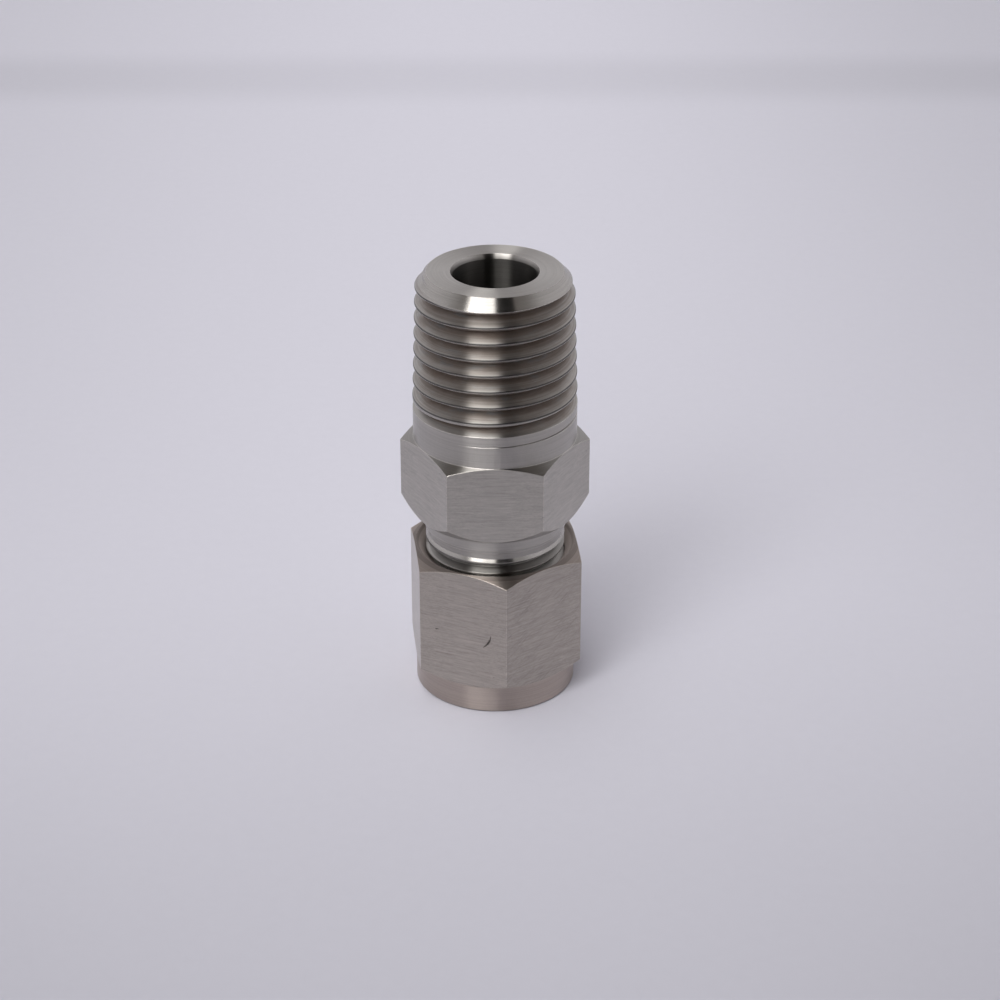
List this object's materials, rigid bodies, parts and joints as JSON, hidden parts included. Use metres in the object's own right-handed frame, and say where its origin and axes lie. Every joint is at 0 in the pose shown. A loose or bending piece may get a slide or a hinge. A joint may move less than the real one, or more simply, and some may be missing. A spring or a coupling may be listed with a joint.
{
  "type": "male connector tube fitting",
  "caption": "Straight compression tube fitting: hexagon body with a taper pipe thread and a screwed nut over a pair of ferrules.",
  "frame": {"origin": "centre of the nut's round end face, where the tube goes in", "axes": "+Z along the flow axis from the nut towards the pipe thread; -Y square out of one body hexagon flat"},
  "size_m": [0.0162, 0.016, 0.0385],
  "materials": {
    "body_steel": "satin turned and milled stainless steel",
    "nut_steel": "satin stainless steel with fine handling scratches",
    "ferrule_steel": "bright turned stainless steel"
  },
  "bodies": {
    "nut": {"nut": "nut_steel"},
    "ferrules": {"front_ferrule": "ferrule_steel", "back_ferrule": "ferrule_steel"},
    "connector_body": {"connector_body": "body_steel"}
  },
  "joints": [
    {"name": "screw_turn", "type": "hinge", "parent": "nut", "child": "ferrules", "pos_m": [0, 0, 0], "axis": [0, 0, 1], "range_deg": [0, 2160]},
    {"name": "screw_lift", "type": "slide", "parent": "ferrules", "child": "connector_body", "axis": [0, 0, 1], "range_m": [0, 0.006]}
  ],
  "couplings": [
    {"joint": "screw_turn", "follows": "screw_lift", "rad_per_m": 6283.2}
  ]
}
